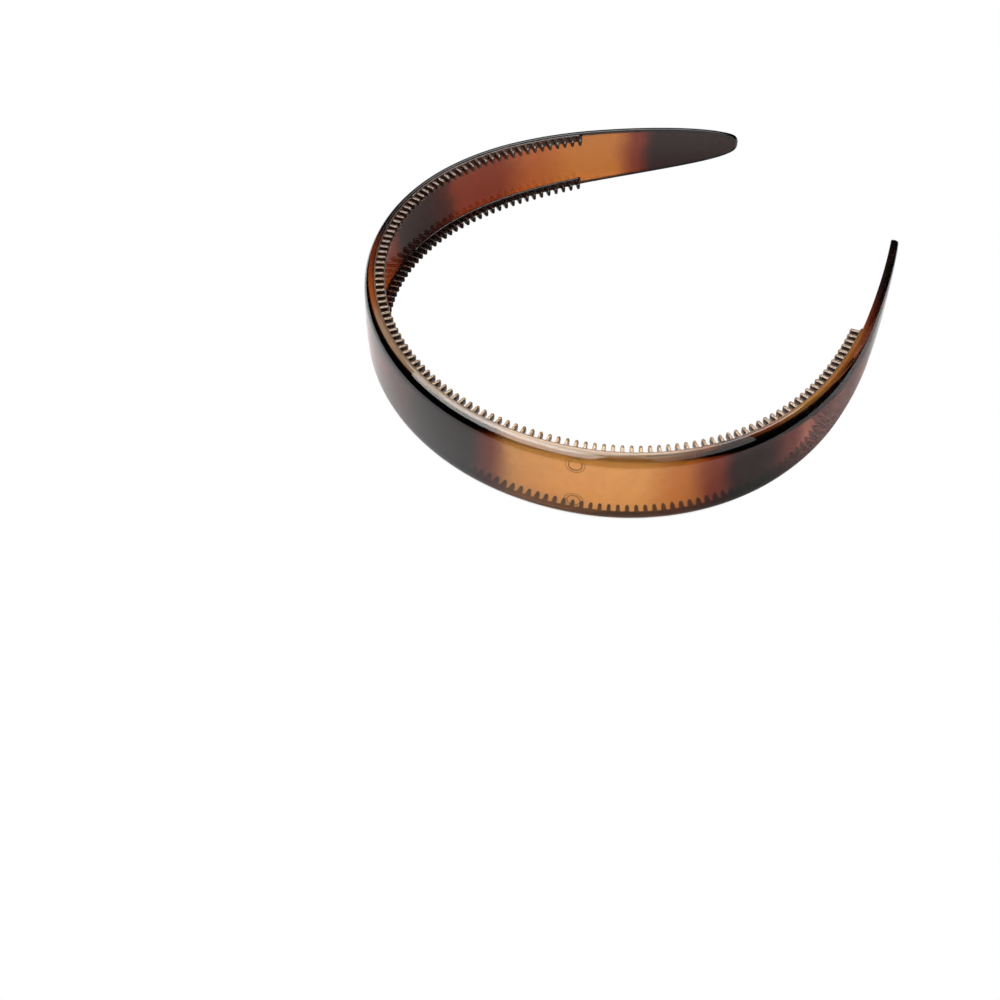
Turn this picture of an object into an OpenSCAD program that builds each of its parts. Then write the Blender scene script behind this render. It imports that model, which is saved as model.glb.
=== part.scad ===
// Comb headband: one springy C-shaped moulding that lies on its side edge.
// The crown faces -Y, the two ends point to +Y, and Z runs across the width of the band.
// Front is +Z and rear is -Z as worn. Left is -X.
// The outer face is a low dome, the inner face is flat, and a comb row stands along each edge.
// The moulding is drawn in lengths that meet face to face, so that it can flex at four places.

/* [Curve of the band] */
// Arc length from the middle of the crown to the first bend line
crown_arc = 48; // [40:1:60]
// Outer radius of the crown
crown_r = 70.6; // [60:0.5:90]
// Arc length of the shoulder, where the band turns down beside the head
shoulder_arc = 52; // [40:1:64]
// Outer radius of the shoulder
shoulder_r = 60.9; // [50:0.1:80]
// Arc length of the part of the arm above the ear
temple_arc = 24; // [16:1:32]
// Outer radius above the ear
temple_r = 73.5; // [60:1:120]
// Arc length beside the ear
ear_arc = 24; // [16:1:32]
// Outer radius beside the ear
ear_r = 120; // [90:1:300]
// Arc length of the last stretch, behind the ear
end_arc = 44; // [30:1:50]
// Outer radius of the last stretch
end_r = 310; // [150:10:600]
// Arc length from the middle of the crown to the second bend line, above the ear
bend_arc = 117.6; // [104:0.4:122]

/* [Section of the band] */
// Width of the band over the crown
band_w = 22.8; // [16:0.2:32]
// Thickness at the middle of the band
wall = 2.8; // [2:0.1:4]
// How far the outer face falls from the middle line to its edges, before the rounding is added
dome = 0.4; // [0:0.1:0.8]
// Extra fall of the rounded outer corner
corner = 1.65; // [0.3:0.05:1.8]
// Where the corner rounding starts, as a share of half the width
corner_start = 0.68; // [0.4:0.02:0.9]
// Chamfer at the two inner corners
inner_chamfer = 0.3; // [0.1:0.1:0.5]
// How late the width tapers: higher keeps the band wide for longer
taper_start = 2.9; // [2:0.1:5]
// How blunt the ends are: lower is blunter
taper_blunt = 0.39; // [0.2:0.01:0.6]
// Thickness lost at the ends
end_thinning = 0.6; // [0:0.1:1]

/* [Comb rows] */
// Distance from tooth to tooth along the outer face
tooth_pitch = 2.4; // [2:0.1:4]
// Width of a tooth along the band
tooth_w = 1.1; // [0.8:0.1:1.6]
// Thickness of a tooth across the band
tooth_t = 2.2; // [0.6:0.1:3]
// Length of a tooth from the inner face
tooth_len = 3.0; // [1.5:0.1:5]
// Height of the low rail that the teeth stand on
rail_h = 0.5; // [0.3:0.1:1]
// Distance from the band's side to the row
row_inset = 0.3; // [0.1:0.1:1]
// Arc length from the middle of the crown to the end of the comb rows
row_end = 144; // [120:1:160]

/* [Ejector marks] */
// Arc length from the middle of the crown to the pair of marks
mark_arc = 45; // [0:0.5:45.5]
// Distance of each mark from the middle line
mark_z = 6.2; // [4:0.1:8]
// Outer diameter of the shallow ring
mark_d = 4.8; // [3:0.2:6]
// Diameter of the pad inside the ring
mark_pad_d = 3.4; // [2:0.2:5]
// Depth of the ring
mark_depth = 0.1; // [0.05:0.05:0.3]

/* [Hidden] */
$fn = 96;

lens = [crown_arc, shoulder_arc, temple_arc, ear_arc, end_arc];
rads = [crown_r, shoulder_r, temple_r, ear_r, end_r];
last = len(lens) - 1;
half = crown_arc + shoulder_arc + temple_arc + ear_arc + end_arc;
amber = [0.62, 0.33, 0.12];
dark = [0.2, 0.1, 0.07];
// Spacing of the drawn sections along the curve
step = 2.6;
// Points on half of the outer face of a section
face_points = 9;
// Drawn sections in the smooth end, and the rounded length at its very tip
tip_sections = 24;
nose = 1.4;
// The rail is a little thicker than its teeth
rail_t = tooth_t + 0.2;

// Position and heading of the outer middle line at arc length s: [x, y, angle]
function place(s, i = 0, x = 0, y = 0, a = 0) =
  let (
    r = rads[i],
    d = i == last ? s : min(s, lens[i]),
    b = a + d / r * 180 / PI,
    nx = x + r * (sin(b) - sin(a)),
    ny = y + r * (cos(a) - cos(b))
  )
  s <= lens[i] || i == last ? [nx, ny, b] : place(s - lens[i], i + 1, nx, ny, b);

depth = place(half)[1];

// Point at arc length s, moved inwards by off and set at height z. A negative s is on the left
function spot(s) =
  let (p = place(abs(s)))
  [sign(s) * p[0], p[1], sign(s) * p[2]];
function at(s, off, z) =
  let (p = spot(s))
  [p[0] - off * sin(p[2]), p[1] + off * cos(p[2]) - depth / 2, z];

// Width of the band at arc length s: even over the crown, then tapering to a blunt end
function taper(s) = pow(1 - pow(min(0.99999, s / half), taper_start), taper_blunt);
function width(s) = band_w * (s <= crown_arc ? 1 : taper(s) / taper(crown_arc));

// Thickness at arc length s, and how far the end rounding pinches it from each face
function thickness(s) = wall - end_thinning * pow(s / half, 8);
function pinch(s) =
  s < half - nose ? 0 : (1 - sqrt(max(0.002, 1 - pow((s - half + nose) / nose, 2)))) / 2;

// Fall of the outer face at v, from -1 to 1 across a section of width w
function fall(v, w) =
  let (q = max(0, abs(v) - corner_start) / (1 - corner_start))
  dome * v * v * pow(w / band_w, 2) + corner * (1 - sqrt(1 - pow(0.8 * q, 2))) / 0.4 * min(1, w / 8);

// Outline of a section as [height, distance inwards] pairs, from the rear edge to the front and back
function section(s) =
  let (
    w = width(s),
    t = thickness(s),
    c = min(inner_chamfer, w / 6),
    k = pinch(s),
    lift = t * k,
    keep = 1 - 2 * k
  )
  [
    for (i = [-face_points:face_points])
      let (v = sin(90 * i / face_points))
      [band_w / 2 + v * w / 2, lift + keep * min(fall(v, w), t * 0.75)],
    [band_w / 2 + w / 2, lift + keep * (t - inner_chamfer)],
    [band_w / 2 + w / 2 - c, lift + keep * t],
    [band_w / 2 - w / 2 + c, lift + keep * t],
    [band_w / 2 - w / 2, lift + keep * (t - inner_chamfer)],
  ];

// Arc lengths of the drawn sections from a to b, even, and closing up towards b for the end
function evenly(a, b) =
  let (n = ceil((b - a) / step))
  [for (i = [0:n]) a + (b - a) * i / n];
function closing(a, b, n) = [for (i = [0:n]) b - (b - a) * pow(1 - i / n, 2)];

// Closed skin through a list of sections with m points each
module skin(rings) {
  m = len(rings[0]);
  n = len(rings);
  points = [for (r = rings) each r];
  sides = [
    for (i = [0:n - 2], j = [0:m - 1])
      let (
        a = i * m + j,
        b = i * m + (j + 1) % m
      )
      each [[a, b, b + m], [a, b + m, a + m]],
  ];
  ends = [
    [for (j = [m - 1:-1:0]) j],
    [for (j = [0:m - 1]) (n - 1) * m + j],
  ];
  polyhedron(points=points, faces=concat(sides, ends), convexity=6);
}

// Right-hand stretch of the band through the given arc lengths
module band(stops) {
  skin([for (s = stops) [for (p = section(s)) at(s, p[1], p[0])]]);
}

// Middle height of a comb row at arc length s: side is 1 in front and -1 at the rear
function row_z(s, side) = band_w / 2 + side * (width(s) / 2 - row_inset - rail_t / 2);

// Rail of a right-hand comb row
module rail(stops, side) {
  skin(
    [
      for (s = stops)
        let (z = row_z(s, side), t = thickness(s))
        [
          at(s, t, z - rail_t / 2),
          at(s, t, z + rail_t / 2),
          at(s, t + rail_h, z + rail_t / 2),
          at(s, t + rail_h, z - rail_t / 2),
        ],
    ]
  );
}

// One tooth at arc length s, pointing to the inside of the curve
module tooth(s, side) {
  reach = tooth_len - tooth_w / 2;
  root = rail_h / 2;
  translate(at(s, thickness(abs(s)), row_z(abs(s), side) - tooth_t / 2))
    rotate(spot(s)[2])
      linear_extrude(tooth_t) {
        translate([-tooth_w / 2, root])
          square([tooth_w, reach - root]);
        translate([0, reach])
          circle(d=tooth_w);
      }
}

// Teeth between two bend lines, evenly pitched from the middle of the stretch
module teeth(a, b, side) {
  n = floor((b - a) / tooth_pitch + 0.001);
  first = (a + b) / 2 - (n - 1) / 2 * tooth_pitch;
  for (i = [0:n - 1])
    tooth(first + i * tooth_pitch, side);
}

// Turns a profile drawn at [distance from the crown's centre, height] through the crown
module crown_sweep() {
  angle = crown_arc / crown_r * 180 / PI;
  translate([0, crown_r - depth / 2, 0])
    rotate(-90 - angle)
      rotate_extrude(angle=2 * angle)
        children();
}

// Shallow ring left by an ejector pin on the inner face
module mark(side) {
  translate(at(mark_arc, wall, band_w / 2 + side * mark_z))
    rotate([-90, 0, place(mark_arc)[2]])
      translate([0, 0, -mark_depth])
        difference() {
          cylinder(d=mark_d, h=1);
          translate([0, 0, -1])
            cylinder(d=mark_pad_d, h=3);
        }
}

module crown_band() {
  color(amber)
    difference() {
      crown_sweep()
        polygon([for (p = section(crown_arc)) [crown_r - p[1], p[0]]]);
      for (side = [-1, 1]) {
        mark(side);
        mirror([1, 0, 0])
          mark(side);
      }
    }
}

module crown_comb(side) {
  color(amber) {
    crown_sweep()
      translate([crown_r - wall - rail_h, row_z(0, side) - rail_t / 2])
        square([rail_h, rail_t]);
    teeth(-crown_arc, crown_arc, side);
  }
}

module shoulder_band() {
  color(amber)
    band(evenly(crown_arc, bend_arc));
}

module arm_band() {
  color(amber)
    band(evenly(bend_arc, row_end));
}

module tip() {
  color(dark)
    band(closing(row_end, half, tip_sections));
}

module comb(a, b, side) {
  color(amber) {
    rail(evenly(a, b), side);
    teeth(a, b, side);
  }
}

// The left-hand pieces are the right-hand ones mirrored
module left() {
  mirror([1, 0, 0])
    children();
}

crown_band();
left() shoulder_band();  // left_shoulder_band
shoulder_band();  // right_shoulder_band
left() arm_band();  // left_arm_band
arm_band();  // right_arm_band
left() tip();  // left_tip
tip();  // right_tip
crown_comb(1);  // crown_front_comb
crown_comb(-1);  // crown_rear_comb
left() comb(crown_arc, bend_arc, 1);  // left_shoulder_front_comb
left() comb(crown_arc, bend_arc, -1);  // left_shoulder_rear_comb
comb(crown_arc, bend_arc, 1);  // right_shoulder_front_comb
comb(crown_arc, bend_arc, -1);  // right_shoulder_rear_comb
left() comb(bend_arc, row_end, 1);  // left_arm_front_comb
left() comb(bend_arc, row_end, -1);  // left_arm_rear_comb
comb(bend_arc, row_end, 1);  // right_arm_front_comb
comb(bend_arc, row_end, -1);  // right_arm_rear_comb
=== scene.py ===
import bpy, bmesh, math
from mathutils import Vector, Matrix


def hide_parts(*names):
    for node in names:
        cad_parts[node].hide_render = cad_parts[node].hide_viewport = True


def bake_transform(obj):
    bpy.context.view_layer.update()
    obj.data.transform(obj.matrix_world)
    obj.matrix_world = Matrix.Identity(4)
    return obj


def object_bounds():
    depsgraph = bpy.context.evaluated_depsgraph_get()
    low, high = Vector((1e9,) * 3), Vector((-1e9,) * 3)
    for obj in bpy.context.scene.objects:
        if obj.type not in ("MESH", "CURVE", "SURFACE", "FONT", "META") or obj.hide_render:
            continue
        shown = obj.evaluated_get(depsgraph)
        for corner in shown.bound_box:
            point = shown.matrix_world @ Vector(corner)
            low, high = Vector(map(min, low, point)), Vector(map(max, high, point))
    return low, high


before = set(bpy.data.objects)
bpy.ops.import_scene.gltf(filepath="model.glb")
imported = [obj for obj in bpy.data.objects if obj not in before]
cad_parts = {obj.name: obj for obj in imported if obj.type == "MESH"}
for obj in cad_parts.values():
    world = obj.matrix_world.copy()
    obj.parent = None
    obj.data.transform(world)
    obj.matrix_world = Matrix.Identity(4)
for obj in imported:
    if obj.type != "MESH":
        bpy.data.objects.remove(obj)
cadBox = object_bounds()
mm = 0.001

# camera first: looks down over the right arm, with the head space off the middle of the view
cameraSettings = {
    "azimuth": 50.25,
    "elevation": 48.32,
    "distance": 442.3,
    "lens": 59.67,
    "sensor": 36,
    "nearest": 0.01,
    "sideways": 0.0594,
    "upwards": 0.1112,
    "aimDepth": 60,      # from the outside of the crown towards the ends
}


def addCamera():
    c = cameraSettings
    a, e = math.radians(c["azimuth"]), math.radians(c["elevation"])
    forward = Vector((-math.sin(a) * math.cos(e), math.cos(a) * math.cos(e), -math.sin(e)))
    right = forward.cross(Vector((0, 0, 1))).normalized()
    up = right.cross(forward)
    target = Vector((0, cadBox[0][1] + c["aimDepth"] * mm, (cadBox[0][2] + cadBox[1][2]) / 2))
    data = bpy.data.cameras.new("camera")
    data.lens, data.sensor_width, data.clip_start = c["lens"], c["sensor"], c["nearest"]
    camera = bpy.data.objects.new("camera", data)
    bpy.context.collection.objects.link(camera)
    place = target - c["distance"] * mm * (forward + right * c["sideways"] + up * c["upwards"])
    camera.matrix_world = Matrix.Translation(place) @ Matrix((right, up, -forward)).transposed().to_4x4()
    bpy.context.scene.camera = camera
    print("camera ready")


addCamera()

# the band's curve, half of it, from the middle of the crown to one end
curve = {"arcs": (48, 52, 24, 24, 44), "radii": (70.6, 60.9, 73.5, 120, 310)}
band = {
    "width": 22.8,
    "wall": 2.8,
    "dome": 0.4,         # fall of the outer face towards its edges
    "corner": 1.65,      # extra fall of the rounded outer corner
    "cornerStart": 0.68, # where the corner begins, as a share of half the width
    "cornerSweep": 0.8,  # how far round its ellipse the corner goes
    "cornerDepth": 0.4,  # fall of a corner of unit size over that sweep
    "cornerFull": 8,     # width below which the corner gets smaller
    "deepest": 0.75,     # largest fall, as a share of the thickness
    "innerRound": 0.3,
    "taperStart": 2.9,
    "taperBlunt": 0.39,
    "endThinning": 0.6,
    "thinningPower": 8,
    "nose": 1.4,         # length of the rounding at the very end
    "noseLeast": 0.002,
    "step": 1.0,         # spacing of the sections
    "closing": 6,        # length over which the sections gather at an end
    "closingSteps": 18,
    "facePoints": 16,
    "innerPlaces": (0.88, 0.6, 0.3, 0, -0.3, -0.6, -0.88),
    "joinAt": 83,        # where the inner and outer lengths of an arm meet
}
half = sum(curve["arcs"])


def spotOn(s):
    # x, y and heading of the outer middle line at arc length s, left is negative
    rest, x, y, a = abs(s), 0.0, 0.0, 0.0
    last = len(curve["arcs"]) - 1
    for i, (length, radius) in enumerate(zip(curve["arcs"], curve["radii"])):
        b = a + (rest if i == last else min(rest, length)) / radius
        x += radius * (math.sin(b) - math.sin(a))
        y += radius * (math.cos(a) - math.cos(b))
        a, rest = b, rest - length
        if rest <= 0:
            break
    return (-x, y, -a) if s < 0 else (x, y, a)


def at(s, inwards, z):
    x, y, a = spotOn(s)
    place = Vector((x - inwards * math.sin(a), y + inwards * math.cos(a), z)) * mm
    return place + Vector((0, cadBox[0][1], 0))


def taper(s):
    nearlyOne = 0.99999
    return (1 - min(nearlyOne, s / half) ** band["taperStart"]) ** band["taperBlunt"]


def widthAt(s):
    s = abs(s)
    return band["width"] * (1 if s <= curve["arcs"][0] else taper(s) / taper(curve["arcs"][0]))


def wallAt(s):
    return band["wall"] - band["endThinning"] * (abs(s) / half) ** band["thinningPower"]


def section(s):
    # one cross section all round: height, distance inwards, place across, and 1 on the inner face
    w, t = widthAt(s), wallAt(s)
    mid, n = band["width"] / 2, band["facePoints"]
    points = []
    for i in range(-n, n + 1):
        v = math.sin(math.pi / 2 * i / n)   # points gather towards the corners
        q = max(0.0, abs(v) - band["cornerStart"]) / (1 - band["cornerStart"])
        drop = band["dome"] * v * v * (w / band["width"]) ** 2
        arc = 1 - math.sqrt(1 - (band["cornerSweep"] * q) ** 2)
        drop += band["corner"] * arc / band["cornerDepth"] * min(1, w / band["cornerFull"])
        points.append((v * w / 2, min(drop, t * band["deepest"]), v, 0))
    # inner corner in front, inner face, inner corner at the rear
    r = min(band["innerRound"], w / 6)
    quarter = [math.pi / 8 * i for i in range(5)]
    points += [(w / 2 - r + r * math.cos(a), t - r + r * math.sin(a), 1, 1) for a in quarter]
    points += [(v * w / 2, t, v, 1) for v in band["innerPlaces"]]
    points += [(-w / 2 + r - r * math.cos(a), t - r + r * math.sin(a), -1, 1) for a in quarter[::-1]]
    pinch, nose = 0.0, band["nose"]
    if abs(s) > half - nose:
        pinch = (1 - math.sqrt(max(band["noseLeast"], 1 - ((abs(s) - half + nose) / nose) ** 2))) / 2
    return [(mid + z, t * pinch + (1 - 2 * pinch) * d, v, k) for z, d, v, k in points]


def stopsBetween(a, b):
    n = math.ceil(abs(b - a) / band["step"])
    stops = [a + (b - a) * i / n for i in range(n + 1)]
    if abs(b) == half:   # sections close up towards the rounded end
        sign, reach, steps = math.copysign(1, b), band["closing"], band["closingSteps"]
        stops = [s for s in stops if abs(s) < half - reach]
        stops += [sign * (half - reach * (1 - i / steps) ** 2) for i in range(steps + 1)]
    return stops


def meshObject(name, verts, faces, facts, materials):
    mesh = bpy.data.meshes.new(name)
    mesh.from_pydata(verts, [], faces)
    for i, key in enumerate(("along", "across", "inwards")):
        layer = mesh.attributes.new(key, "FLOAT", "POINT")
        layer.data.foreach_set("value", [float(f[i]) for f in facts])
    for m in materials:
        mesh.materials.append(m)
    bm = bmesh.new()
    bm.from_mesh(mesh)
    bmesh.ops.recalc_face_normals(bm, faces=bm.faces)
    bm.to_mesh(mesh)
    bm.free()
    mesh.polygons.foreach_set("use_smooth", [True] * len(mesh.polygons))
    piece = bpy.data.objects.new(name, mesh)
    bpy.context.collection.objects.link(piece)
    return piece


def ringFaces(rings, size, first=0):
    # quads between rings of equal size, with a flat end at each side
    faces = []
    for i in range(rings - 1):
        for j in range(size):
            a, b = first + i * size + j, first + i * size + (j + 1) % size
            faces.append((a, b, b + size, a + size))
    faces.append(tuple(first + j for j in range(size - 1, -1, -1)))
    faces.append(tuple(first + (rings - 1) * size + j for j in range(size)))
    return faces


def buildBand(name, a, b, materials):
    def ringAt(s):
        return [at(s, d, z) for z, d, v, k in section(s)]

    stops = stopsBetween(a, b)
    verts, facts = [], []
    for s in stops:
        for z, d, v, k in section(s):
            verts.append(at(s, d, z))
            facts.append((s, v, k))
    size = len(section(a))
    piece = meshObject(name, verts, ringFaces(len(stops), size), facts, materials)
    clearSeams(piece, size, stops, ringAt)
    return piece


def clearSeams(piece, size, stops, ringAt):
    # the ends that meet are clear and the shading runs on across them, so the moulding reads as one
    mesh, probe = piece.data, 0.3
    mesh.update()
    normals = [Vector(c.vector) for c in mesh.corner_normals]
    ends = {}
    for i in (0, len(stops) - 1):
        s = stops[i]
        if abs(s) == half:
            continue
        before, here, after = ringAt(s - probe), ringAt(s), ringAt(s + probe)
        for j in range(size):
            n = (after[j] - before[j]).cross(here[(j + 1) % size] - here[j - 1]).normalized()
            ends[i * size + j] = n
    for p in mesh.polygons:
        if len(p.vertices) == size:
            p.use_smooth = False
            p.material_index = 1 if p.vertices[0] in ends else 0
            for c in p.loop_indices:
                normals[c] = p.normal.copy()
        else:
            for c in p.loop_indices:
                v = mesh.loops[c].vertex_index
                if v in ends:
                    n = ends[v]
                    normals[c] = n if n.dot(p.normal) > 0 else -n
    mesh.normals_split_custom_set(normals)


comb = {
    "pitch": 2.4,
    "width": 1.1,        # along the band
    "thickness": 2.2,    # across the band
    "length": 3.0,       # from the inner face
    "root": 0.15,        # where a prong begins, inside the rail
    "tip": 0.6,          # height of the rounded tip
    "tipLeast": 0.16,
    "narrowing": 0.1,    # from the root to the tip's beginning
    "flatSides": 0.6,    # powers that make the oval squarish, along and across the band
    "flatEnds": 0.5,
    "acrossKept": 0.55,  # share of the size across the band that doesn't shrink
    "sides": 12,
    "shankRings": 4,
    "tipRings": 5,
    "rail": 0.5,
    "railSide": 0.3,     # height of the rail's upright sides
    "railExtra": 0.2,    # how much wider than the prongs the rail is
    "railStep": 1.2,
    "inset": 0.3,
    "rowEnd": 144,
    "bend": 117.6,       # pitch starts again at the bend lines
}


def rowHeight(s, side):
    fromEdge = comb["inset"] + (comb["thickness"] + comb["railExtra"]) / 2
    return band["width"] / 2 + side * (widthAt(s) / 2 - fromEdge)


def toothPlaces():
    # same even spacing in every length of the row, on both sides
    places, crownEnd = [], curve["arcs"][0]
    for a, b in ((-crownEnd, crownEnd), (crownEnd, comb["bend"]), (comb["bend"], comb["rowEnd"])):
        n = math.floor((b - a) / comb["pitch"] + 0.001)
        first = (a + b) / 2 - (n - 1) / 2 * comb["pitch"]
        places += [first + i * comb["pitch"] for i in range(n)]
    return sorted(set(round(p, 4) for p in places + [-p for p in places if p > crownEnd]))


def addTooth(verts, faces, facts, s, side):
    # a prong with rounded sides and a rounded tip, from inside the rail to its end
    base, z, first = wallAt(s), rowHeight(s, side), len(verts)
    heading = spotOn(s)[2]
    forward = Vector((math.cos(heading), math.sin(heading), 0))
    size, reach, tip, rings = comb["sides"], comb["length"], comb["tip"], []
    for i in range(comb["shankRings"]):
        up = i / (comb["shankRings"] - 1)
        rings.append((comb["root"] + (reach - comb["root"] - tip) * up, 1 - comb["narrowing"] * up))
    for i in range(1, comb["tipRings"] + 1):
        a = math.pi / 2 * i / comb["tipRings"]
        shrink = (1 - comb["narrowing"]) * max(comb["tipLeast"], math.cos(a))
        rings.append((reach - tip + tip * math.sin(a), shrink))
    for away, grow in rings:
        across = comb["acrossKept"] + (1 - comb["acrossKept"]) * grow
        for j in range(size):
            t = 2 * math.pi * j / size
            # squarish oval
            c, q = math.cos(t), math.sin(t)
            u = math.copysign(abs(c) ** comb["flatSides"], c) * comb["width"] / 2 * grow
            w = math.copysign(abs(q) ** comb["flatEnds"], q) * comb["thickness"] / 2 * across
            verts.append(at(s, base + away, z + w) + forward * u * mm)
            facts.append((s, u / comb["width"] * 2, away / reach))
    faces += ringFaces(len(rings), size, first)


def buildComb(name, a, b, side, materials):
    verts, faces, facts = [], [], []
    lo, hi = min(a, b), max(a, b)
    for s in toothPlaces():
        if lo < s < hi:
            addTooth(verts, faces, facts, s, side)
    # low rail that the prongs stand on
    n, first = math.ceil((hi - lo) / comb["railStep"]), len(verts)
    t, low, top, slope = (comb["thickness"] + comb["railExtra"]) / 2, comb["railSide"], comb["rail"], 0.2
    shape = ((-t, 0.0), (t, 0.0), (t, low), (t - slope, top), (-t + slope, top), (-t, low))
    for i in range(n + 1):
        s = lo + (hi - lo) * i / n
        for w, away in shape:
            verts.append(at(s, wallAt(s) + away, rowHeight(s, side) + w))
            facts.append((s, 0, away / comb["length"]))
    faces += ringFaces(n + 1, len(shape), first)
    return meshObject(name, verts, faces, facts, materials)


mark = {
    "arc": 45,
    "across": 6.2,
    "pad": 1.7,
    "ring": 2.4,
    "bead": 0.11,
    "finer": 0.6,        # the outer ring's bead against the inner one's
    "lift": 0.02,
    "steps": 48,
}
flash = {"from": 62, "to": 76, "across": 0.962, "bead": 0.07, "lift": 0.01, "perMillimetre": 2}


def bead(verts, faces, facts, path, radius, s, closed):
    # thin round bead along a line of points
    first, size, n = len(verts), 6, len(path)
    for i, p in enumerate(path):
        before = path[i - 1 if closed else max(0, i - 1)]
        after = path[(i + 1) % n if closed else min(n - 1, i + 1)]
        way = (after - before).normalized()
        side = way.orthogonal().normalized()
        if i:
            side = (last - way * last.dot(way)).normalized()
        last = side
        other = way.cross(side)
        for j in range(size):
            a = 2 * math.pi * j / size
            verts.append(p + (side * math.cos(a) + other * math.sin(a)) * radius * mm)
            facts.append((s, 0.0, 0.5))
    if closed:
        for i in range(n):
            a, b = first + i * size, first + (i + 1) % n * size
            for j in range(size):
                k = (j + 1) % size
                faces.append((a + j, a + k, b + k, b + j))
    else:
        faces += ringFaces(n, size, first)


def buildMarks(name, sign, material):
    # pairs of ejector rings on the inner face
    verts, faces, facts = [], [], []
    middle, depth = sign * mark["arc"], band["wall"] + mark["lift"]
    turns = [2 * math.pi * i / mark["steps"] for i in range(mark["steps"])]
    for side in (-1, 1):
        z = band["width"] / 2 + side * mark["across"]
        for radius, grow in ((mark["pad"], 1.0), (mark["ring"], mark["finer"])):
            path = [at(middle + radius * math.cos(a), depth, z + radius * math.sin(a)) for a in turns]
            bead(verts, faces, facts, path, mark["bead"] * grow, middle, True)
    return meshObject(name, verts, faces, facts, (material,))


def buildFlash(name, material):
    # hair-thin flash line along the front edge
    verts, faces, facts, path = [], [], [], []
    for i in range((flash["to"] - flash["from"]) * flash["perMillimetre"] + 1):
        s = flash["from"] + i / flash["perMillimetre"]
        z, d = [(z, d) for z, d, v, k in section(s) if k == 0 and v >= flash["across"]][0]
        path.append(at(s, d - flash["lift"], z))
    bead(verts, faces, facts, path, flash["bead"], flash["from"], False)
    return meshObject(name, verts, faces, facts, (material,))


# node helpers
def nodeGraph(name):
    material = bpy.data.materials.new(name)
    material.use_nodes = True
    tree = material.node_tree
    tree.nodes.clear()
    return material, tree


def node(tree, kind, **values):
    n = tree.nodes.new(kind)
    for key, value in values.items():
        if hasattr(n, key):
            setattr(n, key, value)
        else:
            n.inputs[key].default_value = value
    return n


def plasticGraph(name):
    material, tree = nodeGraph(name)
    out = node(tree, "ShaderNodeOutputMaterial")
    shader = node(tree, "ShaderNodeBsdfPrincipled", IOR=1.49)
    tree.links.new(shader.outputs["BSDF"], out.inputs["Surface"])
    return material, tree, shader


def maths(tree, operation, first, second=None):
    n = node(tree, "ShaderNodeMath", operation=operation)
    for i, value in enumerate((first, second)):
        if isinstance(value, float):
            n.inputs[i].default_value = value
        elif value is not None:
            tree.links.new(value, n.inputs[i])
    return n.outputs[0]


def fact(tree, key):
    return node(tree, "ShaderNodeAttribute", attribute_name=key).outputs["Fac"]


def mapped(tree, source, **limits):
    names = {"low": "To Min", "high": "To Max", "start": "From Min", "end": "From Max"}
    n = node(tree, "ShaderNodeMapRange")
    for key, value in limits.items():
        n.inputs[names[key]].default_value = value
    tree.links.new(source, n.inputs["Value"])
    return n.outputs["Result"]


def noise(tree, **values):
    n = node(tree, "ShaderNodeTexNoise", **values)
    tree.links.new(node(tree, "ShaderNodeTexCoord").outputs["Object"], n.inputs["Vector"])
    return n.outputs["Fac"]


def alongBand(places):
    # arc lengths turned into shares of the whole band, for a ramp
    return [((s + half) / (2 * half), tone) for s, tone in places]


def ramp(tree, stops, source, interpolation="EASE"):
    n = tree.nodes.new("ShaderNodeValToRGB")
    n.color_ramp.interpolation = interpolation
    elements = n.color_ramp.elements
    while len(elements) > 1:
        elements.remove(elements[-1])
    elements[0].position, elements[0].color = stops[0][0], (*stops[0][1], 1)
    for position, colour in stops[1:]:
        elements.new(position).color = (*colour, 1)
    tree.links.new(source, n.inputs["Fac"])
    return n.outputs["Color"]


tint = {
    "amber": (0.66, 0.31, 0.085),
    "amberLeft": (0.50, 0.165, 0.030),
    "orange": (0.40, 0.095, 0.018),
    "rust": (0.20, 0.030, 0.010),
    "brown": (0.05, 0.009, 0.005),
    "haze": (0.15, 0.035, 0.022),
    "rimAmberHighlight": (0.86, 0.60, 0.36),       # side edges over the amber, made paler with a painted highlight
    "dark": (0.022, 0.008, 0.007),
    "black": (0.004, 0.003, 0.003),
    "tan": (0.42, 0.28, 0.17),
    # reddish brown of the right arm, lightened with a painted sheen
    "mauveSheen": (0.46, 0.16, 0.12),
    "prong": (0.84, 0.58, 0.36),
    "prongPale": (0.86, 0.66, 0.45),
    # front prongs down the left arm, darkened with painted shade
    "prongShaded": (0.40, 0.23, 0.17),
    # painted shade on the prongs' flanks, roots and tips
    "prongEdgeShade": (0.06, 0.026, 0.014),
    "rearProng": (0.05, 0.018, 0.012),
}
finish = {
    "rimClear": 0.45,        # how much of the side edge stays clear
    "fadeEdge": 8.8,         # how far the cloud edges wander along the band, in mm
    "fadeScale": 70.0,
    "grainScale": 420.0,
    "roughScale": 260.0,
    "shellRough": (0.027, 0.0675),
    "combRoughScale": 900.0,
    "combRough": (0.08, 0.22),
    "combClear": (0.75, 0.3),
    "rimBand": (0.925, 0.965),   # where the side edge begins, as a share of half the width
    "cornerBand": (0.68, 0.80),
    "shadedFlankBand": (0.62, 0.86),
}
blackTone, whiteTone = (0, 0, 0), (1, 1, 1)


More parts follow.
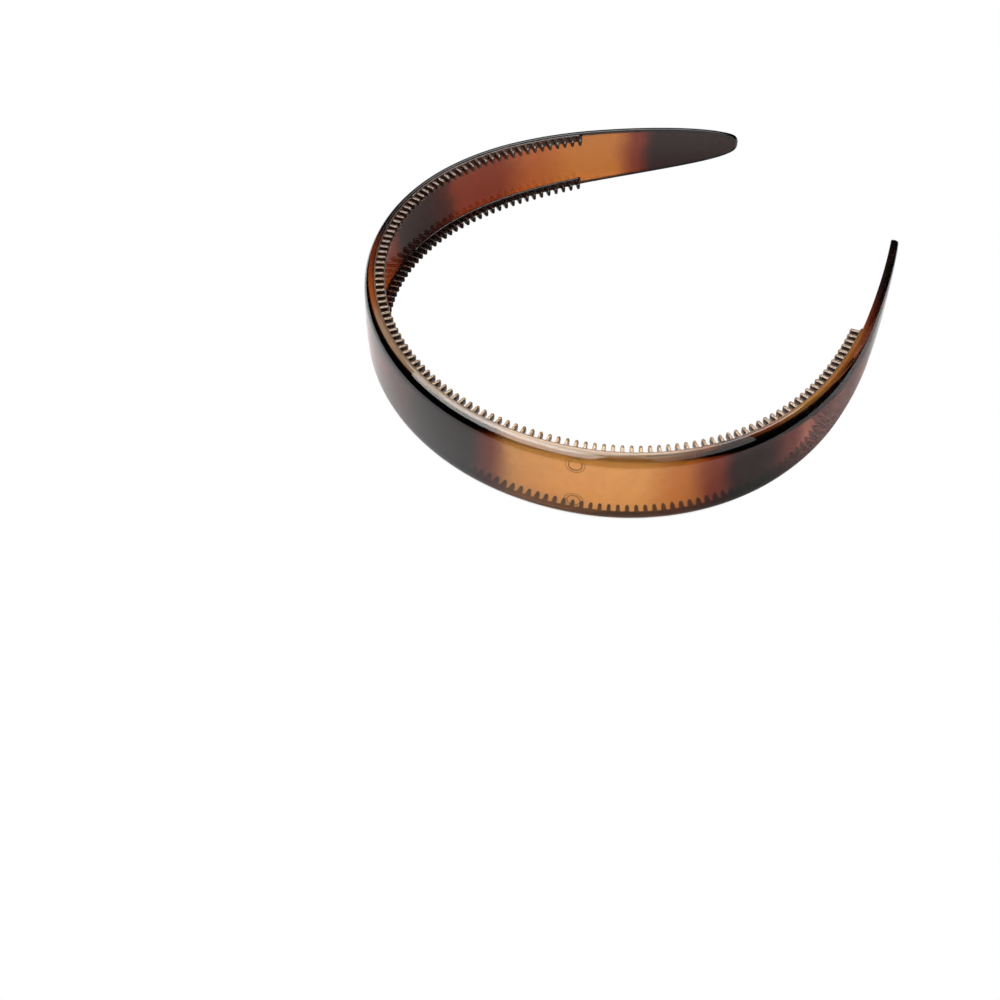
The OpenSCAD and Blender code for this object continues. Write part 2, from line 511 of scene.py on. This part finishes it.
def cloudStops():
    # the clouds along the band: arc length and tint, from the left end to the right end
    c = tint
    return alongBand((
        (-192, c["dark"]), (-167, c["dark"]), (-161, c["rust"]), (-154, c["amberLeft"]),
        (-142, c["amberLeft"]), (-130, c["orange"]), (-117, c["rust"]), (-104, c["rust"]),
        (-97, c["brown"]), (-90, c["dark"]),
        (-77, c["dark"]), (-70, c["rust"]), (-60, c["orange"]), (-44, c["orange"]), (-36, c["haze"]),
        (-12, c["haze"]), (0, c["dark"]), (16, c["dark"]), (22, c["rust"]), (29, c["amber"]),
        (61, c["amber"]), (71, c["amberLeft"]), (80, c["rust"]), (86, c["dark"]), (96, c["dark"]),
        # on the right arm the reddish brown carries a painted sheen
        (103, c["haze"]), (110, c["mauveSheen"]), (134, c["mauveSheen"]), (150, c["haze"]), (166, c["dark"]),
        (187, c["dark"]), (192, c["brown"]),
    ))


def rearStops():
    c = tint
    return alongBand((
        (-150, c["rearProng"]), (-60, c["brown"]), (0, c["rearProng"]), (150, c["rearProng"]),
    ))


def combStops():
    c = tint
    return alongBand((
        # down the left arm the front prongs are darkened with painted shade
        (-150, c["rearProng"]), (-118, c["prongShaded"]), (-64, c["prongShaded"]), (-44, c["prong"]),
        (20, c["prong"]), (60, c["prongPale"]), (100, c["prong"]), (150, c["prong"]),
    ))


def rimPatternAndLightStops():
    # side-edge tints: the plastic's own amber and dark clouds, with a painted highlight over the crown and
    # painted shade down the left arm
    c = tint
    return alongBand((
        (-192, c["black"]), (-66, c["black"]), (-52, c["rust"]), (-38, c["orange"]), (-24, c["tan"]),
        (20, c["tan"]), (30, c["rimAmberHighlight"]), (64, c["rimAmberHighlight"]), (76, c["amberLeft"]), (84, c["brown"]),
        (96, c["orange"]), (106, c["amber"]), (134, c["amberLeft"]), (150, c["rust"]), (164, c["dark"]),
        (192, c["black"]),
    ))


def rising(limits):
    # stops that go from black to white between two places
    return ((0.0, blackTone), (limits[0], blackTone), (limits[1], whiteTone))


def tortoiseshell():
    material, tree, shader = plasticGraph("tortoiseshell")
    link = tree.links.new
    wander = noise(tree, noise_dimensions="3D", Scale=finish["fadeScale"], Detail=3.0, Roughness=0.55)
    pushed = node(tree, "ShaderNodeMath", operation="MULTIPLY_ADD")
    link(maths(tree, "SUBTRACT", wander, 0.5), pushed.inputs[0])
    pushed.inputs[1].default_value = finish["fadeEdge"]
    link(fact(tree, "along"), pushed.inputs[2])
    place = mapped(tree, pushed.outputs[0], start=-half, end=half)
    # the side edges are slightly cloudy; they are paler over the amber with a painted highlight, and nearly
    # black down the left arm with painted shade
    across = fact(tree, "across")
    edge = ramp(tree, rising(finish["rimBand"]), maths(tree, "ABSOLUTE", across))
    body = node(tree, "ShaderNodeMix", data_type="RGBA")
    link(edge, body.inputs[0])
    link(ramp(tree, cloudStops(), place), body.inputs[6])
    link(ramp(tree, rimPatternAndLightStops(), place), body.inputs[7])
    # fine mottling of the tint
    grain = noise(tree, Scale=finish["grainScale"], Detail=6.0, Roughness=0.7)
    mottled = node(tree, "ShaderNodeMix", data_type="RGBA", blend_type="MULTIPLY")
    mottled.inputs[0].default_value = 1.0
    link(body.outputs[2], mottled.inputs[6])
    link(ramp(tree, ((0.3, (0.86, 0.84, 0.80)), (0.7, whiteTone)), grain, "LINEAR"), mottled.inputs[7])
    link(mottled.outputs[2], shader.inputs["Base Color"])
    # where the clear amber turns the rounded front corner it is cloudy and pale
    corner = ramp(tree, (*rising(finish["cornerBand"]), (1.0, whiteTone)), across)
    overAmber = alongBand(((18, blackTone), (30, whiteTone), (66, whiteTone), (80, blackTone)))
    pale = maths(tree, "MULTIPLY", corner, ramp(tree, overAmber, place))
    clear = mapped(tree, maths(tree, "MAXIMUM", pale, edge), low=1.0, high=finish["rimClear"])
    link(clear, shader.inputs["Transmission Weight"])
    low, high = finish["shellRough"]
    rough = noise(tree, Scale=finish["roughScale"], Detail=4.0)
    link(mapped(tree, rough, low=low, high=high), shader.inputs["Roughness"])
    return material


def combPlastic(name, rear):
    # the prongs keep the pale amber of the plastic, the clouds hardly reach them
    material, tree, shader = plasticGraph(name)
    link = tree.links.new
    place = mapped(tree, fact(tree, "along"), start=-half, end=half)
    # painted shade: the prongs' flanks, roots and tips are darker in colour than their faces, for their
    # dark outlines and the shade at their roots
    shadedFlank = ramp(tree, rising(finish["shadedFlankBand"]), maths(tree, "ABSOLUTE", fact(tree, "across")))
    rootShade, tipShade = (0.75,) * 3, (0.8,) * 3
    rootShadeStops = ((0.0, rootShade), (0.12, rootShade), (0.24, blackTone), (0.9, blackTone), (1.0, tipShade))
    shadedParts = maths(tree, "MAXIMUM", shadedFlank, ramp(tree, rootShadeStops, fact(tree, "inwards")))
    mix = node(tree, "ShaderNodeMix", data_type="RGBA")
    link(shadedParts, mix.inputs[0])
    link(ramp(tree, rearStops() if rear else combStops(), place), mix.inputs[6])
    mix.inputs[7].default_value = (*tint["prongEdgeShade"], 1)
    link(mix.outputs[2], shader.inputs["Base Color"])
    low, high = finish["combClear"]
    link(mapped(tree, shadedParts, low=low, high=high), shader.inputs["Transmission Weight"])
    low, high = finish["combRough"]
    rough = noise(tree, Scale=finish["combRoughScale"], Detail=3.0)
    link(mapped(tree, rough, low=low, high=high), shader.inputs["Roughness"])
    return material


def seamClear():
    material, tree = nodeGraph("seamClear")
    out = node(tree, "ShaderNodeOutputMaterial")
    clear = node(tree, "ShaderNodeBsdfTransparent")
    tree.links.new(clear.outputs[0], out.inputs["Surface"])
    return material


shell, seam = tortoiseshell(), seamClear()
frontProngs, rearProngs = combPlastic("frontCombAmber", False), combPlastic("rearCombBrown", True)
join = band["joinAt"]


def blendPoint(s):
    return at(s, band["wall"] / 2, band["width"] / 2)


for side, sign in (("left", -1), ("right", 1)):
    near = buildBand(f"{side}CrownBand", 0, sign * join, (shell, seam))
    far = buildBand(f"{side}ArmBand", sign * join, sign * half, (shell, seam))
    pieces = [(near, far, "band")]
    for row, face, prongs in (("Front", 1, frontProngs), ("Rear", -1, rearProngs)):
        nearRow = buildComb(f"{side}{row}CrownComb", 0, sign * join, face, (prongs,))
        farRow = buildComb(f"{side}{row}ArmComb", sign * join, sign * comb["rowEnd"], face, (prongs,))
        pieces.append((nearRow, farRow, f"{row.lower()}_comb"))
    for inner, outer, kind in pieces:
        blendPoint(sign * 14)
        blendPoint(sign * 78)
        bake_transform(inner)
        blendPoint(sign * 88)
        blendPoint(sign * 147)
        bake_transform(outer)
        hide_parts(f"crown_{kind}", f"{side}_shoulder_{kind}")
        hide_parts(f"{side}_arm_{kind}", f"{side}_shoulder_{kind}")
        for piece in (inner, outer):
            "comb_plastic" if "comb" in kind else "band_plastic"
        if kind == "band":
            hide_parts(f"{side}_tip")
    small = [buildMarks(f"{side}EjectorMarks", sign, rearProngs)]
    if side == "right":
        small.append(buildFlash("flashLine", rearProngs))
    for piece in small:
        blendPoint(sign * 14)
        blendPoint(sign * 78)
        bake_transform(piece)
    print(side, "side built")

# pale table, a big softbox overhead with cards in front and beside it that the gloss shows, a key and a
# fill that only matte surfaces take, and low black flags that only reflections see
studio = {
    "floorSize": 12.0,
    "floorTone": 0.8,
    "floorGlow": 0.02,
    "shadowReach": 0.005,                       # how near the plastic has to be for the painted contact shadow on the table
    # colour of the painted contact shadow on the table
    "contactShadowTone": (0.02, 0.012, 0.01),
    "shadowFrom": 0.06,
    "shadowTo": 0.24,
    "shadowSamples": 16,
    "floorDrop": 0.00005,
    "boxHeight": 1.0,
    "boxReach": (-0.82, 0.70, -1.5, 0.82),   # left, right, front and back edges for each metre of height
    "boxBrightness": 6.0,
    "frontPlace": (-0.05, -1.1, 0.55),       # the front edge of the crown reflects this card
    "frontSize": (1.9, 0.8),
    "frontBrightness": 6.0,
    "sidePlace": (1.25, -0.1, 0.65),         # a dimmer card beside the right arm
    "sideSize": (1.1, 1.15),
    "sideBrightness": 1.5,
    "keyPlace": (-1.0, -0.25, 0.8),          # lights the table from the left, not seen in the gloss
    "keySize": (0.8, 0.8),
    "keyBrightness": 11.0,
    "fillBrightness": 0.9,
    "flagRadius": 0.112,
    "flagHeight": 0.03,
    "flagSides": 128,
    "roomTone": 0.03,
}


def stageObject(name, bm, material):
    mesh = bpy.data.meshes.new(name)
    bm.to_mesh(mesh)
    bm.free()
    mesh.materials.append(material)
    piece = bpy.data.objects.new(name, mesh)
    bpy.context.collection.objects.link(piece)
    return piece


def paleTable():
    material, tree = nodeGraph("paleTable")
    out = node(tree, "ShaderNodeOutputMaterial")
    shader = node(tree, "ShaderNodeBsdfPrincipled")
    tone = studio["floorTone"]
    shader.inputs["Base Color"].default_value = (tone, tone, tone, 1)
    shader.inputs["Roughness"].default_value = 0.9
    shader.inputs["Specular IOR Level"].default_value = 0.0
    shader.inputs["Emission Color"].default_value = (1, 1, 1, 1)
    shader.inputs["Emission Strength"].default_value = studio["floorGlow"]
    # the camera sees the table as clean white, apart from a painted contact shadow that is darkest in the
    # gaps between the prongs
    seen = node(tree, "ShaderNodeLightPath")
    glow = node(tree, "ShaderNodeEmission")
    contactOcclusion = node(tree, "ShaderNodeAmbientOcclusion", samples=studio["shadowSamples"])
    contactOcclusion.inputs["Distance"].default_value = studio["shadowReach"]
    paintedShadow = studio["contactShadowTone"]
    paintedShadowStops = ((0.0, paintedShadow), (studio["shadowFrom"], paintedShadow), (studio["shadowTo"], whiteTone))
    tree.links.new(ramp(tree, paintedShadowStops, contactOcclusion.outputs["AO"], "LINEAR"), glow.inputs["Color"])
    pick = node(tree, "ShaderNodeMixShader")
    tree.links.new(seen.outputs["Is Camera Ray"], pick.inputs[0])
    tree.links.new(shader.outputs[0], pick.inputs[1])
    tree.links.new(glow.outputs[0], pick.inputs[2])
    tree.links.new(pick.outputs[0], out.inputs["Surface"])
    return material


def blackCard():
    material, tree = nodeGraph("blackCard")
    out = node(tree, "ShaderNodeOutputMaterial")
    shader = node(tree, "ShaderNodeBsdfDiffuse", Color=(0.01, 0.01, 0.01, 1))
    tree.links.new(shader.outputs[0], out.inputs["Surface"])
    return material


def softBox(name, place, lookAt, size, brightness):
    data = bpy.data.lights.new(name, "AREA")
    data.shape, data.size, data.size_y = "RECTANGLE", size[0], size[1]
    data.energy = brightness * math.pi * size[0] * size[1]
    box = bpy.data.objects.new(name, data)
    box.rotation_euler = (lookAt - place).to_track_quat("-Z", "Y").to_euler()
    box.location = place
    bpy.context.collection.objects.link(box)
    return box


def buildStudio():
    bm = bmesh.new()
    bmesh.ops.create_grid(bm, x_segments=4, y_segments=4, size=studio["floorSize"] / 2)
    floor = stageObject("tableTop", bm, paleTable())
    floor.location.z = cadBox[0][2] - studio["floorDrop"]
    bm = bmesh.new()
    rims, sides, radius = [], studio["flagSides"], studio["flagRadius"]
    turns = [2 * math.pi * i / sides for i in range(sides)]
    for z in (0, studio["flagHeight"]):
        rims.append([bm.verts.new((radius * math.cos(a), radius * math.sin(a), z)) for a in turns])
    for i in range(sides):
        bm.faces.new((rims[0][i], rims[0][i - 1], rims[1][i - 1], rims[1][i]))
    flags = stageObject("blackFlags", bm, blackCard())
    flags.visible_camera = flags.visible_diffuse = flags.visible_shadow = flags.visible_transmission = False
    left, right, front, back = [v * studio["boxHeight"] for v in studio["boxReach"]]
    middle = Vector(((left + right) / 2, (front + back) / 2, studio["boxHeight"]))
    origin, below = Vector((0, 0, 0.01)), Vector((0, 0, 1))
    size = (right - left, back - front)
    gloss = [softBox("overheadBox", middle, middle - below, size, studio["boxBrightness"])]
    for name in ("front", "side"):
        card, brightness = Vector(studio[f"{name}Place"]), studio[f"{name}Brightness"]
        gloss.append(softBox(f"{name}Card", card, origin, studio[f"{name}Size"], brightness))
    key = Vector(studio["keyPlace"])
    matte = [softBox("leftKey", key, origin, studio["keySize"], studio["keyBrightness"])]
    matte.append(softBox("fillBox", middle + below * 0.05, middle - below, size, studio["fillBrightness"]))
    for box in gloss:
        box.visible_diffuse = False
    for box in matte:
        box.visible_glossy = box.visible_transmission = False
    world = bpy.data.worlds.new("studio")
    world.use_nodes = True
    tree = world.node_tree
    seen = node(tree, "ShaderNodeLightPath")
    roomStops = ((0, (studio["roomTone"],) * 3), (1, whiteTone))
    tone = ramp(tree, roomStops, seen.outputs["Is Camera Ray"], "LINEAR")
    tree.links.new(tone, tree.nodes["Background"].inputs["Color"])
    bpy.context.scene.world = world
    bpy.context.scene.view_settings.view_transform = "Standard"
    print("studio ready")


buildStudio()
